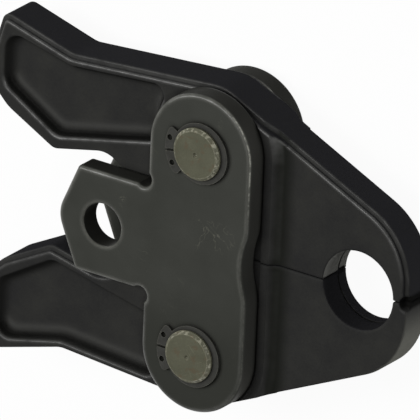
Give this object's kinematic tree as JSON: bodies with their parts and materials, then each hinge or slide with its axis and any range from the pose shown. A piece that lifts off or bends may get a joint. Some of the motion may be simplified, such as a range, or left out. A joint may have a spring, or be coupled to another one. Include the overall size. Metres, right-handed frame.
{
  "type": "press fitting tool jaw",
  "caption": "Pair of forged jaw arms that rock on two pins between two side plates, with a round press contour at the nose and a pin bore for a pressing tool.",
  "frame": {"origin": "centre of the tool pin bore, midway between the two side plates", "axes": "+X from the tool pin bore to the nose of the jaw, +Y across the two pivot pins towards the upper arm, +Z along the tool pin bore out of the top side plate"},
  "size_m": [0.1576, 0.1114, 0.0354],
  "materials": {
    "forged_steel": "satin black phosphated forged steel",
    "plate_steel": "satin dark olive grey steel",
    "pin_steel": "ground steel with a khaki tint",
    "ring_steel": "phosphated spring steel",
    "spring_steel": "drawn spring wire"
  },
  "bodies": {
    "side_frame": {"top_side_plate": "plate_steel", "bottom_side_plate": "plate_steel", "upper_pivot_pin": "pin_steel", "lower_pivot_pin": "pin_steel", "top_upper_retaining_ring": "ring_steel", "top_lower_retaining_ring": "ring_steel", "bottom_upper_retaining_ring": "ring_steel", "bottom_lower_retaining_ring": "ring_steel", "leg_spring": "spring_steel"},
    "upper_arm": {"upper_jaw_arm": "forged_steel"},
    "lower_arm": {"lower_jaw_arm": "forged_steel"}
  },
  "joints": [
    {"name": "upper_arm_pivot", "type": "hinge", "parent": "side_frame", "child": "upper_arm", "pos_m": [0.035, 0.03375, 0], "axis": [0, 0, 1], "range_deg": [0, 12], "stiffness_Nm_per_rad": 1.2, "springref_deg": -28.65, "deforming": ["leg_spring"]},
    {"name": "lower_arm_pivot", "type": "hinge", "parent": "side_frame", "child": "lower_arm", "pos_m": [0.035, -0.03375, 0], "axis": [0, 0, -1], "range_deg": [0, 12], "stiffness_Nm_per_rad": 1.2, "springref_deg": -28.65, "deforming": ["leg_spring"]}
  ]
}
